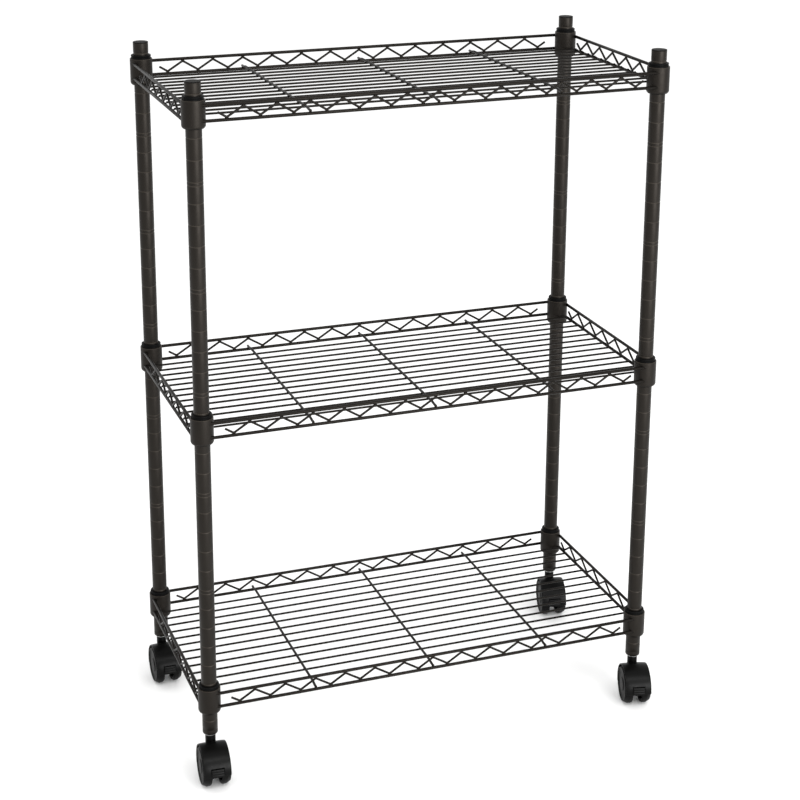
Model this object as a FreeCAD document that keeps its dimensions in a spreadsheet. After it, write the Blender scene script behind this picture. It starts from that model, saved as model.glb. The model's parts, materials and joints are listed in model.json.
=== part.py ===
"""Wire shelving rack: three welded wire shelves on four grooved posts, on four twin-wheel casters.

The origin is on the floor, at the middle of the footprint. +X runs along the shelves to the right,
+Y to the back and +Z up. Millimetres and degrees throughout.
"""
import FreeCAD, Part
import math
import os
import Sketcher

os.makedirs("parts", exist_ok=True)
doc = FreeCAD.newDocument("WireShelvingRack")
Vector = FreeCAD.Vector
Rotation = FreeCAD.Rotation

# ---------------------------------------------------------------- driving dimensions
SIZES = [
    ("bay_length", 584.0),          # between post axes, along X
    ("bay_depth", 264.0),           # between post axes, along Y
    ("posts_back", 16.4),           # the posts' middle behind the origin; the casters stand forward
    ("post_diameter", 19.05),
    ("post_wall", 1.0),
    ("post_length", 812.8),
    ("post_foot", 67.0),            # lower end of the post tube above the floor
    ("groove_pitch", 25.4),
    ("groove_first", 12.7),         # first and last groove, from the ends of the tube
    ("groove_depth", 0.45),
    ("groove_width", 1.4),
    ("marker_pitch", 127.0),        # a second groove marks every fifth one
    ("marker_first", 59.1),
    ("cap_head", 1.2),
    ("cap_edge", 0.8),
    ("cap_plug", 12.0),
    ("cap_lead", 0.5),              # chamfer that leads the plug into the tube
    ("cap_wall", 1.6),
    ("insert_exposed", 7.0),
    ("insert_plug", 26.0),
    ("nose_run", 2.4),              # rounding of the insert's lower edge
    ("nose_rise", 3.4),
    ("insert_thread", 4.9),         # radius of the threaded hole
    ("washer_radius", 7.4),
    ("washer_thickness", 1.1),
    ("lowest_shelf", 91.5),         # lower edge of the lowest collars above the floor
    ("lower_bay", 355.6),           # 14 grooves
    ("upper_bay", 381.0),           # 15 grooves
    ("collar_height", 32.0),
    ("collar_radius", 14.0),
    ("collar_bore_top", 12.5),
    ("collar_bore_foot", 12.8),
    ("collar_edge", 0.3),
    ("collar_roll", 0.8),           # the lower edge is rolled in
    ("collar_roll_height", 1.9),
    ("sleeve_above", 4.6),
    ("sleeve_below", 1.0),
    ("sleeve_edge", 0.8),
    ("sleeve_gap_angle", 4.0),
    ("lip_clearance", 0.1),
    ("lip_groove", 0.5),            # ring moulded round the lip, halfway up
    ("ridge_height", 13.6),         # sleeve ridge above the collar's lower edge
    ("ridge_half", 0.5),
    ("ridge_play", 0.1),            # between the ridge's crest and the bottom of the groove
    ("rim_radius", 2.0),
    ("rim_offset", 10.3),           # rim wire outside the line of post axes
    ("rim_start", 5.0),             # rim wire end beyond the post axis, inside the cope
    ("long_lower_rim", 8.0),        # wire heights above the collar's lower edge
    ("side_lower_rim", 7.4),
    ("upper_rim", 26.0),
    ("truss_radius", 1.4),
    ("truss_bend", 2.6),
    ("truss_stub_run", 9.2),
    ("long_margin", 36.0),          # end valleys of the zigzag from the post axes
    ("long_waves", 13),
    ("side_margin", 38.0),
    ("side_waves", 5),
    ("side_shift", 11.5),           # side zigzags lie off the middle, each its own way
    ("deck_radius", 1.35),
    ("deck_height", 10.08),
    ("deck_count", 13),
    ("deck_pitch", 19.1),
    ("deck_end", 8.8),              # deck wire end beyond the post axis
    ("cross_radius", 1.6),
    ("cross_waves", 4),             # outer cross wires, in truss waves from the middle
    ("cross_overhang_back", 3.6),
    ("cross_overhang_front", 1.6),
    ("cross_foot", 4.0),            # flat end on the long rim
    ("cross_ramp", 9.0),
    ("cross_bend", 12.0),
    ("wheel_radius", 25.0),
    ("wheel_width", 11.5),
    ("web_width", 11.0),
    ("wheel_gap", 0.5),
    ("wheel_hub_radius", 7.0),
    ("wheel_rim_wall", 4.2),
    ("wheel_face_wall", 3.2),
    ("axle_radius", 3.0),
    ("axle_trail", 17.0),           # axle in front of the swivel axis
    ("axle_seat", 9.2),             # axle length inside each wheel
    ("axle_end_gap", 0.3),
    ("running_gap", 0.05),
    ("hood_radius", 27.6),
    ("hood_wall", 1.5),
    ("face_reach", 0.5),            # wheel faces outside the hood's edges
    ("hood_front_angle", 4.0),      # hood edges below the axle's level
    ("hood_back_angle", 20.0),
    ("hub_radius", 14.0),
    ("neck_radius", 6.5),
    ("neck_foot", 46.0),
    ("neck_top", 58.6),
    ("pivot_radius", 3.5),
    ("pivot_foot", 30.0),
    ("stem_thread_length", 20.0),
    ("tab_width", 15.4),
    ("tab_inner", 26.5),
    ("tab_outer", 28.4),
    ("tab_top_angle", 17.0),
    ("tab_foot_angle", 5.0),
    ("window_clearance", 0.45),
    ("window_top_angle", 19.0),
    ("window_floor", 24.6),
    ("tab_pivot_reach", 20.0),      # tab hinge from the axle
    ("tab_pivot_angle", 17.0),
    ("tab_boss_radius", 3.0),
    ("tab_trunnion_radius", 1.5),
    ("trunnion_end_gap", 0.2),
    ("tab_tongue_width", 5.0),
    ("tab_tongue_height", 4.0),
    ("tab_tongue_seat", 0.2),       # tongue sunk into the plate
    ("slot_side_gap", 0.5),         # room round the tongue and its boss in the web
    ("slot_end_gap", 0.7),
    ("slot_top_gap", 0.3),
    ("slot_drop", 6.0),             # below the hinge
    ("turn_front_left", -3.0),      # resting swivel angle of each caster
    ("turn_front_right", -14.0),
    ("turn_back_left", 1.0),
    ("turn_back_right", -13.0),
]

sheet = doc.addObject("Spreadsheet::Sheet", "Sizes")
for row, (alias, number) in enumerate(SIZES, start=1):
    sheet.set("A%d" % row, alias)
    sheet.set("B%d" % row, str(number))
    sheet.setAlias("B%d" % row, alias)
doc.recompute()

CORNERS = {                         # side of the middle along X and along Y
    "front_left": (-1, -1),
    "front_right": (1, -1),
    "back_left": (-1, 1),
    "back_right": (1, 1),
}
SHELVES = {
    "bottom": "Sizes.lowest_shelf",
    "middle": "(Sizes.lowest_shelf + Sizes.lower_bay)",
    "top": "(Sizes.lowest_shelf + Sizes.lower_bay + Sizes.upper_bay)",
}
ALONG_X = Rotation(Vector(0, 1, 0), 90)
AGAINST_X = Rotation(Vector(0, 1, 0), -90)
ALONG_Y = Rotation(Vector(1, 0, 0), -90)
UPRIGHT = Rotation()
FRONT_UP = Rotation(Vector(0, -1, 0), Vector(0, 0, 1), Vector(-1, 0, 0), "XYZ")
nodes = []


# ---------------------------------------------------------------- helpers
def value(expression):
    """The number that an expression of the size sheet gives now."""
    return float(sheet.evalExpression(str(expression)))


def corner_xy(corner):
    side_x, side_y = CORNERS[corner]
    along = "%d * Sizes.bay_length / 2" % side_x
    return along, "Sizes.posts_back + %d * Sizes.bay_depth / 2" % side_y


def place(item, position, rotation=UPRIGHT):
    """Put an object where three expressions say, with a fixed rotation."""
    item.Placement = FreeCAD.Placement(Vector(), rotation)
    for axis, expression in zip("xyz", position):
        item.setExpression("Placement.Base." + axis, str(expression))
    return item


def bound(kind, name, **sizes):
    """A Part object whose properties follow expressions of the size sheet."""
    item = doc.addObject(kind, name)
    for key, expression in sizes.items():
        item.setExpression(key, str(expression))
    return item


def rod(name, radius, length, position, rotation):
    return place(bound("Part::Cylinder", name, Radius=radius, Height=length), position, rotation)


def keep(item, label):
    """Register an object as one node of the rack."""
    item.Label = label
    nodes.append(item)
    return item


def group(name, members):
    item = doc.addObject("Part::Compound", name)
    item.Links = members
    return item


def cut(name, base, tool):
    item = doc.addObject("Part::Cut", name)
    item.Base = base
    item.Tool = tool
    return item


def fuse(name, members):
    item = doc.addObject("Part::MultiFuse", name)
    item.Shapes = members
    item.Refine = True
    return item


def plane_of(body, role):
    return next(item for item in body.Origin.OriginFeatures if item.Role == role)


def outline_sketch(body, name, points):
    """A closed outline of (radius, height) expressions on the body's own XZ plane."""
    sketch = body.newObject("Sketcher::SketchObject", name)
    sketch.AttachmentSupport = [(plane_of(body, "XZ_Plane"), "")]
    sketch.MapMode = "FlatFace"
    corners = [Vector(value(radius), value(height), 0) for radius, height in points]
    for index, start in enumerate(corners):
        end = corners[(index + 1) % len(corners)]
        sketch.addGeometry(Part.LineSegment(start, end), False)
    for index, (radius, height) in enumerate(points):
        following = (index + 1) % len(points)
        sketch.addConstraint(Sketcher.Constraint("Coincident", index, 2, following, 1))
        for kind, expression, number in (
            ("DistanceX", radius, corners[index].x),
            ("DistanceY", height, corners[index].y),
        ):
            made = sketch.addConstraint(Sketcher.Constraint(kind, -1, 1, index, 1, number))
            sketch.setExpression("Constraints[%d]" % made, str(expression))
    return sketch


def turned(name, points, angle="360"):
    """A body of revolution about its own Z axis."""
    body = doc.addObject("PartDesign::Body", name)
    sketch = outline_sketch(body, name + "_outline", points)
    spin = body.newObject("PartDesign::Revolution", name + "_turned")
    spin.Profile = sketch
    spin.ReferenceAxis = (sketch, ["V_Axis"])
    spin.setExpression("Angle", angle)
    return body


# ---------------------------------------------------------------- posts
def ring_grooves(body, tube, name, first, pitch, count):
    """Cut one shallow V groove round the tube and repeat it upwards."""
    outer = "Sizes.post_diameter / 2"
    sketch = outline_sketch(body, name + "_outline", [
        (outer + " - Sizes.groove_depth", first),
        (outer + " + Sizes.groove_depth", "%s + Sizes.groove_width" % first),
        (outer + " + Sizes.groove_depth", "%s - Sizes.groove_width" % first),
    ])
    groove = body.newObject("PartDesign::Groove", name)
    groove.Profile = sketch
    groove.ReferenceAxis = (sketch, ["V_Axis"])
    groove.Angle = 360
    doc.recompute()
    if not groove.Shape.Volume < tube.Shape.Volume - 1.0:
        raise RuntimeError(name + " cuts nothing")
    row = body.newObject("PartDesign::LinearPattern", name + "_row")
    row.Originals = [groove]
    row.Direction = (sketch, ["V_Axis"])
    row.setExpression("Length", "%s * %d" % (pitch, count - 1))
    row.Occurrences = count
    body.Tip = row
    return row


def make_post(corner):
    """A steel tube with a locating groove every inch, and a double groove at every fifth."""
    outer = "Sizes.post_diameter / 2"
    inner = "Sizes.post_diameter / 2 - Sizes.post_wall"
    name = "post_" + corner
    body = turned(name, [
        (inner, "0"),
        (outer, "0"),
        (outer, "Sizes.post_length"),
        (inner, "Sizes.post_length"),
    ])
    doc.recompute()
    length = value("Sizes.post_length")
    grooves = int((length - 2 * value("Sizes.groove_first")) / value("Sizes.groove_pitch") + 0.5) + 1
    markers = int((length - value("Sizes.marker_first")) / value("Sizes.marker_pitch")) + 1
    row = ring_grooves(body, body.Tip, name + "_grooves", "Sizes.groove_first", "Sizes.groove_pitch", grooves)
    doc.recompute()
    ring_grooves(body, row, name + "_markers", "Sizes.marker_first", "Sizes.marker_pitch", markers)
    place(body, corner_xy(corner) + ("Sizes.post_foot",))
    return keep(body, name)


def make_caps():
    """The plastic plugs that close the tops of the posts."""
    outer = "Sizes.post_diameter / 2"
    plug = "Sizes.post_diameter / 2 - Sizes.post_wall"
    members = []
    for corner in CORNERS:
        body = turned("cap_" + corner, [
            ("0", "Sizes.cap_head"),
            (outer + " - Sizes.cap_edge", "Sizes.cap_head"),
            (outer, "Sizes.cap_head - Sizes.cap_edge"),
            (outer, "0"),
            (plug, "0"),
            (plug, "Sizes.cap_lead - Sizes.cap_plug"),
            (plug + " - Sizes.cap_lead", "-Sizes.cap_plug"),
            (plug + " - Sizes.cap_wall", "-Sizes.cap_plug"),
            (plug + " - Sizes.cap_wall", "-Sizes.cap_edge"),
            ("0", "-Sizes.cap_edge"),
        ])
        members.append(place(body, corner_xy(corner) + ("Sizes.post_foot + Sizes.post_length",)))
    return keep(group("cap_group", members), "post_caps")


def make_inserts():
    """The threaded foot inserts, rounded where they show below the tubes."""
    outer = "Sizes.post_diameter / 2"
    plug = "Sizes.post_diameter / 2 - Sizes.post_wall"
    members = []
    for corner in CORNERS:
        body = turned("insert_" + corner, [
            ("Sizes.insert_thread", "-Sizes.insert_exposed"),
            (outer + " - Sizes.nose_run", "-Sizes.insert_exposed"),
            (outer + " - Sizes.nose_run / 2", "Sizes.nose_rise / 7 - Sizes.insert_exposed"),
            (outer + " - Sizes.nose_run / 6", "Sizes.nose_rise / 2 - Sizes.insert_exposed"),
            (outer, "Sizes.nose_rise - Sizes.insert_exposed"),
            (outer, "0"),
            (plug, "0"),
            (plug, "Sizes.insert_plug"),
            ("Sizes.insert_thread", "Sizes.insert_plug"),
        ])
        members.append(place(body, corner_xy(corner) + ("Sizes.post_foot",)))
    return keep(group("insert_group", members), "foot_inserts")


# ---------------------------------------------------------------- shelf corners
def make_collar(shelf, height, corner):
    """A tapered steel collar that the shelf's wires are welded to."""
    body = turned("collar_%s_%s" % (shelf, corner), [
        ("Sizes.collar_bore_foot", "0"),
        ("Sizes.collar_radius - Sizes.collar_roll", "0"),
        ("Sizes.collar_radius", "Sizes.collar_roll_height"),
        ("Sizes.collar_radius", "Sizes.collar_height - Sizes.collar_edge"),
        ("Sizes.collar_radius - Sizes.collar_edge", "Sizes.collar_height"),
        ("Sizes.collar_bore_top", "Sizes.collar_height"),
    ])
    place(body, corner_xy(corner) + (height,))
    return keep(body, "%s_collar_%s" % (shelf, corner))


def make_sleeves(shelf, height):
    """Both halves of each split plastic sleeve; the inner ridge sits in a post groove."""
    inner = "Sizes.post_diameter / 2"
    crest = "Sizes.post_diameter / 2 - Sizes.groove_depth + Sizes.ridge_play"
    lip = "Sizes.collar_bore_top - Sizes.lip_clearance"
    neck = lip + " - Sizes.lip_groove"
    top = "Sizes.collar_height"
    rise = "Sizes.collar_height + Sizes.sleeve_above"
    outline = [
        (inner, "-Sizes.sleeve_below"),
        ("Sizes.collar_bore_foot - Sizes.sleeve_edge", "-Sizes.sleeve_below"),
        ("Sizes.collar_bore_foot", "0"),
        ("Sizes.collar_bore_top", top),
        (lip, top),
        (lip, top + " + Sizes.sleeve_above / 2 - 2 * Sizes.lip_groove"),
        (neck, top + " + Sizes.sleeve_above / 2 - Sizes.lip_groove"),
        (neck, top + " + Sizes.sleeve_above / 2"),
        (lip, top + " + Sizes.sleeve_above / 2 + Sizes.lip_groove"),
        (lip, rise + " - Sizes.sleeve_edge"),
        (lip + " - Sizes.sleeve_edge", rise),
        (inner, rise),
        (inner, "Sizes.ridge_height + Sizes.ridge_half"),
        (crest, "Sizes.ridge_height"),
        (inner, "Sizes.ridge_height - Sizes.ridge_half"),
    ]
    members = []
    for half, quarter_turn in (("back", 0), ("front", 180)):
        lean = Rotation(Vector(0, 0, 1), quarter_turn + value("Sizes.sleeve_gap_angle / 2"))
        for corner in CORNERS:
            name = "sleeve_%s_%s_%s" % (shelf, half, corner)
            body = turned(name, outline, "180 - Sizes.sleeve_gap_angle")
            members.append(place(body, corner_xy(corner) + (height,), lean))
    return keep(group(shelf + "_sleeve_group", members), shelf + "_sleeves")


# ---------------------------------------------------------------- shelf wires
def make_rim(shelf, height, which):
    """Four rim wires, one on each side, coped where they are welded to the collars."""
    long_height = "Sizes.long_lower_rim" if which == "lower" else "Sizes.upper_rim"
    side_height = "Sizes.side_lower_rim" if which == "lower" else "Sizes.upper_rim"
    stem = "%s_%s_rim" % (shelf, which)
    wires = []
    for side, sign in (("front", -1), ("back", 1)):
        across = "Sizes.posts_back + %d * (Sizes.bay_depth / 2 + Sizes.rim_offset)" % sign
        start = "Sizes.rim_start - Sizes.bay_length / 2"
        length = "Sizes.bay_length - 2 * Sizes.rim_start"
        position = (start, across, "%s + %s" % (height, long_height))
        wires.append(rod("%s_%s" % (stem, side), "Sizes.rim_radius", length, position, ALONG_X))
    for side, sign in (("left", -1), ("right", 1)):
        across = "%d * (Sizes.bay_length / 2 + Sizes.rim_offset)" % sign
        start = "Sizes.posts_back + Sizes.rim_start - Sizes.bay_depth / 2"
        length = "Sizes.bay_depth - 2 * Sizes.rim_start"
        position = (across, start, "%s + %s" % (height, side_height))
        wires.append(rod("%s_%s" % (stem, side), "Sizes.rim_radius", length, position, ALONG_Y))
    copes = []
    for corner in CORNERS:
        position = corner_xy(corner) + (height,)
        name = "%s_cope_%s" % (stem, corner)
        copes.append(rod(name, "Sizes.collar_radius", "Sizes.collar_height", position, UPRIGHT))
    rim = cut(stem + "_coped", group(stem + "_wires", wires), group(stem + "_copes", copes))
    return keep(rim, stem)


def zigzag_path(span, margin, waves, low, high):
    """Centre line of a truss wire from end stub to end stub: straight legs and round bends.

    u runs along the side from the middle, w is height; low and high are the bends' crests.
    """
    bend = value("Sizes.truss_bend")
    stub_run = value("Sizes.truss_stub_run")
    half_pitch = (span - 2 * margin) / waves / 2
    rise = (high - low) - 2 * bend
    slope = math.atan2(rise, half_pitch) + math.asin(2 * bend / math.hypot(half_pitch, rise))
    run_u = math.cos(slope)
    run_w = math.sin(slope)
    edges = []
    first_valley = margin - span / 2
    leave = None
    for step in range(2 * waves + 1):
        valley = step % 2 == 0
        sign = 1 if valley else -1
        centre_u = first_valley + step * half_pitch
        centre_w = low + bend if valley else high - bend
        arrive = Vector(centre_u - bend * run_w, centre_w - sign * bend * run_u, 0)
        crest = Vector(centre_u, centre_w - sign * bend, 0)
        depart = Vector(centre_u + bend * run_w, centre_w - sign * bend * run_u, 0)
        if leave is None:
            leave = arrive + Vector(-stub_run, stub_run * math.tan(slope), 0)
        edges.append(Part.LineSegment(leave, arrive).toShape())
        edges.append(Part.Arc(arrive, crest, depart).toShape())
        leave = depart
    end = leave + Vector(stub_run, stub_run * math.tan(slope), 0)
    edges.append(Part.LineSegment(leave, end).toShape())
    return edges


def swept_wire(edges, radius):
    """A round wire along a chain of edges."""
    path = Part.Wire(edges)
    first = edges[0]
    start = first.valueAt(first.FirstParameter)
    along = first.tangentAt(first.FirstParameter)
    section = Part.Wire([Part.makeCircle(radius, start, along)])
    return path.makePipeShell([section], True, False)


def make_trusses(shelf, height):
    """The zigzag wires between the two rims, one on each side of the shelf."""
    radius = value("Sizes.truss_radius")
    rim = value("Sizes.rim_radius")
    base = value(height)
    high = value("Sizes.upper_rim") - rim - radius
    stand_long = Rotation(Vector(1, 0, 0), 90)
    stand_side = Rotation(Vector(0, 0, 1), 90) * stand_long
    wires = {}
    for run, span, lower in (("long", "Sizes.bay_length", "Sizes.long_lower_rim"),
                             ("side", "Sizes.bay_depth", "Sizes.side_lower_rim")):
        low = value(lower) + rim + radius
        margin = value("Sizes.%s_margin" % run)
        waves = int(value("Sizes.%s_waves" % run))
        wires[run] = swept_wire(zigzag_path(value(span), margin, waves, low, high), radius)
    reach_x = value("Sizes.bay_length / 2 + Sizes.rim_offset")
    reach_y = value("Sizes.bay_depth / 2 + Sizes.rim_offset")
    shift = value("Sizes.side_shift")
    middle = value("Sizes.posts_back")
    solids = []
    for run, turn, spot in (
        ("long", stand_long, Vector(0, middle - reach_y, base)),
        ("long", stand_long, Vector(0, middle + reach_y, base)),
        ("side", stand_side, Vector(-reach_x, middle - shift, base)),
        ("side", stand_side, Vector(reach_x, middle + shift, base)),
    ):
        wire = wires[run].copy()
        wire.Placement = FreeCAD.Placement(spot, turn)
        solids.append(wire)
    truss = doc.addObject("Part::Feature", shelf + "_truss_shape")
    truss.Shape = Part.makeCompound(solids)
    return keep(truss, shelf + "_truss_wires")


def make_deck(shelf, height):
    """The thin wires that carry the load, along the shelf; their ends rest on the side rims."""
    count = int(value("Sizes.deck_count"))
    wires = []
    for index in range(count):
        position = (
            "-(Sizes.bay_length / 2 + Sizes.deck_end)",
            "Sizes.posts_back + Sizes.deck_pitch * %g" % (index - (count - 1) / 2),
            "%s + Sizes.deck_height" % height,
        )
        length = "Sizes.bay_length + 2 * Sizes.deck_end"
        name = "%s_deck_%02d" % (shelf, index + 1)
        wires.append(rod(name, "Sizes.deck_radius", length, position, ALONG_X))
    return keep(group(shelf + "_deck_group", wires), shelf + "_deck_wires")


def eased_path(points, bend):
    """Straight runs joined by tangent arcs of one radius."""
    edges = []
    leave = points[0]
    for before, point, after in zip(points, points[1:], points[2:]):
        arriving = (point - before).normalize()
        leaving = (after - point).normalize()
        half_turn = arriving.getAngle(leaving) / 2
        setback = bend * math.tan(half_turn)
        middle = (leaving - arriving).normalize() * (bend / math.cos(half_turn) - bend)
        arrive = point - arriving * setback
        depart = point + leaving * setback
        edges.append(Part.LineSegment(leave, arrive).toShape())
        edges.append(Part.Arc(arrive, point + middle, depart).toShape())
        leave = depart
    edges.append(Part.LineSegment(leave, points[-1]).toShape())
    return edges


def make_cross_wires(shelf, height):
    """Three wires over the deck; their ends dip to lie on the long lower rims."""
    radius = value("Sizes.cross_radius")
    base = value(height)
    wave = value("(Sizes.bay_length - 2 * Sizes.long_margin) / Sizes.long_waves")
    middle = value("Sizes.posts_back")
    rim_y = value("Sizes.bay_depth / 2 + Sizes.rim_offset")
    end_level = base + value("Sizes.long_lower_rim + Sizes.rim_radius") + radius
    deck_level = base + value("Sizes.deck_height + Sizes.deck_radius") + radius
    foot = value("Sizes.cross_foot")
    ramp = value("Sizes.cross_ramp")
    front = -rim_y - value("Sizes.cross_overhang_front")
    back = rim_y + value("Sizes.cross_overhang_back")
    route = [
        (front, end_level),
        (foot - rim_y, end_level),
        (foot + ramp - rim_y, deck_level),
        (rim_y - foot - ramp, deck_level),
        (rim_y - foot, end_level),
        (back, end_level),
    ]
    solids = []
    for side in (-1, 0, 1):
        place_x = side * wave * value("Sizes.cross_waves")
        points = [Vector(place_x, middle + along, level) for along, level in route]
        solids.append(swept_wire(eased_path(points, value("Sizes.cross_bend")), radius))
    wires = doc.addObject("Part::Feature", shelf + "_cross_shape")
    wires.Shape = Part.makeCompound(solids)
    return keep(wires, shelf + "_cross_wires")


# ---------------------------------------------------------------- casters
def caster_place(item, corner):
    """Set a caster piece, drawn about its swivel axis, under its post at its resting angle."""
    turn = Rotation(Vector(0, 0, 1), value("Sizes.turn_" + corner))
    return place(item, corner_xy(corner) + ("0",), turn)


def across(name, radius, half_width, reach="0", rise="0"):
    """A round bar along the axle's direction, centred, at a place measured from the axle."""
    position = (
        "-(%s)" % half_width,
        "-Sizes.axle_trail - (%s)" % reach,
        "Sizes.wheel_radius + (%s)" % rise,
    )
    return rod(name, radius, "2 * (%s)" % half_width, position, ALONG_X)


def sector(name, radius, half_width, start, sweep):
    """Part of a disc about the axle; angles start at the front and go up over the top."""
    item = bound("Part::Cylinder", name, Radius=radius, Height="2 * (%s)" % half_width, Angle=sweep)
    facing = FRONT_UP * Rotation(Vector(0, 0, 1), value(start))
    return place(item, (half_width, "-Sizes.axle_trail", "Sizes.wheel_radius"), facing)


def make_hood(corner):
    """The caster's moulded body: web between the wheels, hood over them, neck and bores."""
    stem = "hood_" + corner
    sweep = "180 + Sizes.hood_front_angle + Sizes.hood_back_angle"
    start = "-Sizes.hood_front_angle"
    web = "Sizes.web_width / 2"
    side = "Sizes.web_width / 2 + Sizes.wheel_gap + Sizes.wheel_width - Sizes.face_reach"
    inner = "Sizes.hood_radius - Sizes.hood_wall"
    band = cut(
        stem + "_band",
        sector(stem + "_shell", "Sizes.hood_radius", side, start, sweep),
        across(stem + "_room", inner, side + " + 1"),
    )
    solid = fuse(stem + "_solid", [
        band,
        sector(stem + "_web", "Sizes.hood_radius - Sizes.hood_wall / 2", web, start, sweep),
        across(stem + "_hub", "Sizes.hub_radius", web),
        rod(stem + "_neck", "Sizes.neck_radius", "Sizes.neck_top - Sizes.neck_foot",
            ("0", "0", "Sizes.neck_foot"), UPRIGHT),
    ])
    reach, rise = tab_pivot()
    window_half = "Sizes.tab_width / 2 + Sizes.window_clearance"
    window = cut(
        stem + "_window",
        sector(stem + "_opening", "Sizes.hood_radius + 2", window_half, start + " - 1",
               "Sizes.hood_front_angle + 1 + Sizes.window_top_angle"),
        across(stem + "_opening_floor", "Sizes.window_floor", window_half + " + 1"),
    )
    slot_half = "Sizes.tab_tongue_width / 2 + Sizes.slot_side_gap"
    slot_end = "Sizes.axle_trail + %s - Sizes.tab_boss_radius - Sizes.slot_end_gap" % reach
    slot_length = "Sizes.hood_radius - (%s) + Sizes.tab_boss_radius + Sizes.slot_end_gap" % reach
    slot = bound(
        "Part::Box", stem + "_slot",
        Length="2 * (%s)" % slot_half,
        Width=slot_length,
        Height="Sizes.slot_drop + Sizes.tab_boss_radius + Sizes.slot_top_gap",
    )
    place(slot, ("-(%s)" % slot_half, "-(%s) - (%s)" % (slot_end, slot_length),
                 "Sizes.wheel_radius + %s - Sizes.slot_drop" % rise))
    hollow = fuse(stem + "_hollow", [
        rod(stem + "_pivot_bore", "Sizes.pivot_radius + Sizes.running_gap", "Sizes.neck_top",
            ("0", "0", "Sizes.pivot_foot - Sizes.wheel_gap"), UPRIGHT),
        across(stem + "_axle_bore", "Sizes.axle_radius", "Sizes.web_width"),
        across(stem + "_trunnion_bore", "Sizes.tab_trunnion_radius + Sizes.running_gap",
               "Sizes.web_width", reach, rise),
        window,
        slot,
    ])
    hood = cut(stem + "_cut", solid, hollow)
    return keep(caster_place(hood, corner), "caster_hood_" + corner)


def tab_pivot():
    """Where the brake tab hinges, in front of the axle and above it."""
    reach = "Sizes.tab_pivot_reach * cos(Sizes.tab_pivot_angle * 1deg)"
    rise = "Sizes.tab_pivot_reach * sin(Sizes.tab_pivot_angle * 1deg)"
    return reach, rise


def make_brake_tab(corner):
    """The foot tab in the hood's window, on moulded trunnions between the wheels."""
    stem = "tab_" + corner
    half = "Sizes.tab_width / 2"
    tongue_half = "Sizes.tab_tongue_width / 2"
    reach, rise = tab_pivot()
    plate = cut(
        stem + "_plate",
        sector(stem + "_outer", "Sizes.tab_outer", half, "-Sizes.tab_foot_angle",
               "Sizes.tab_foot_angle + Sizes.tab_top_angle"),
        across(stem + "_inner", "Sizes.tab_inner", half + " + 1"),
    )
    tongue = bound(
        "Part::Box", stem + "_tongue",
        Length="2 * (%s)" % tongue_half,
        Width="Sizes.tab_inner + Sizes.tab_tongue_seat - (%s)" % reach,
        Height="Sizes.tab_tongue_height",
    )
    place(tongue, ("-(%s)" % tongue_half, "-Sizes.axle_trail - Sizes.tab_inner - Sizes.tab_tongue_seat",
                   "Sizes.wheel_radius + %s - Sizes.tab_tongue_height / 2" % rise))
    tab = fuse(stem + "_solid", [
        plate,
        tongue,
        across(stem + "_boss", "Sizes.tab_boss_radius", tongue_half, reach, rise),
        across(stem + "_trunnions", "Sizes.tab_trunnion_radius",
               "Sizes.web_width / 2 - Sizes.trunnion_end_gap", reach, rise),
    ])
    return keep(caster_place(tab, corner), "brake_tab_" + corner)


def make_axle(corner):
    """The steel axle, pressed into the hood's web and running in both wheels."""
    half = "Sizes.web_width / 2 + Sizes.wheel_gap + Sizes.axle_seat"
    bar = group("axle_bar_" + corner, [across("axle_rod_" + corner, "Sizes.axle_radius", half)])
    return keep(caster_place(bar, corner), "axle_" + corner)


def make_wheel(corner, side):
    """A moulded wheel with a blind hub, a hollow inner side and a shallow dished face."""
    width = "Sizes.wheel_width"
    tread = "Sizes.wheel_radius"
    hub = "Sizes.wheel_hub_radius"
    bore = "Sizes.axle_radius + Sizes.running_gap"
    face = width + " - Sizes.wheel_face_wall"
    bottom = "Sizes.axle_seat + Sizes.axle_end_gap"
    name = "wheel_%s_%s" % (corner, side)
    body = turned(name + "_body", [
        (bore, "0"),
        (hub, "0"),
        (hub, face),
        (tread + " - Sizes.wheel_rim_wall", face),
        (tread + " - Sizes.wheel_rim_wall", "0.5"),
        (tread + " - 1.4", "0.5"),
        (tread + " - 0.4", "1.0"),
        (tread, "2.0"),
        (tread, width + " - 3.6"),
        (tread + " - 0.5", width + " - 1.9"),
        (tread + " - 1.5", width + " - 0.7"),
        (tread + " - 2.8", width),
        (tread + " - 3.8", width),
        (tread + " - 4.6", width + " - 0.8"),
        (hub + " + 1.6", width + " - 0.6"),
        (hub + " + 0.8", width),
        ("0", width),
        ("0", bottom),
        (bore, bottom),
    ])
    start = "Sizes.web_width / 2 + Sizes.wheel_gap"
    sign = -1 if side == "left" else 1
    facing = AGAINST_X if side == "left" else ALONG_X
    place(body, ("%d * (%s)" % (sign, start), "-Sizes.axle_trail", "Sizes.wheel_radius"), facing)
    wheel = group(name, [body])
    return keep(caster_place(wheel, corner), "wheel_%s_%s" % (corner, side))


def make_stems():
    """Threaded stems: screwed into the foot inserts, with a smooth pivot pin in each hood."""
    members = []
    for corner in CORNERS:
        shoulder = "Sizes.post_foot - Sizes.insert_exposed - Sizes.washer_thickness"
        body = turned("stem_" + corner, [
            ("0", "Sizes.pivot_foot"),
            ("Sizes.pivot_radius", "Sizes.pivot_foot"),
            ("Sizes.pivot_radius", shoulder),
            ("Sizes.insert_thread", shoulder),
            ("Sizes.insert_thread", shoulder + " + Sizes.stem_thread_length - 1"),
            ("Sizes.insert_thread - 1", shoulder + " + Sizes.stem_thread_length"),
            ("0", shoulder + " + Sizes.stem_thread_length"),
        ])
        members.append(place(body, corner_xy(corner) + ("0",)))
    return keep(group("stem_group", members), "caster_stems")


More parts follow.
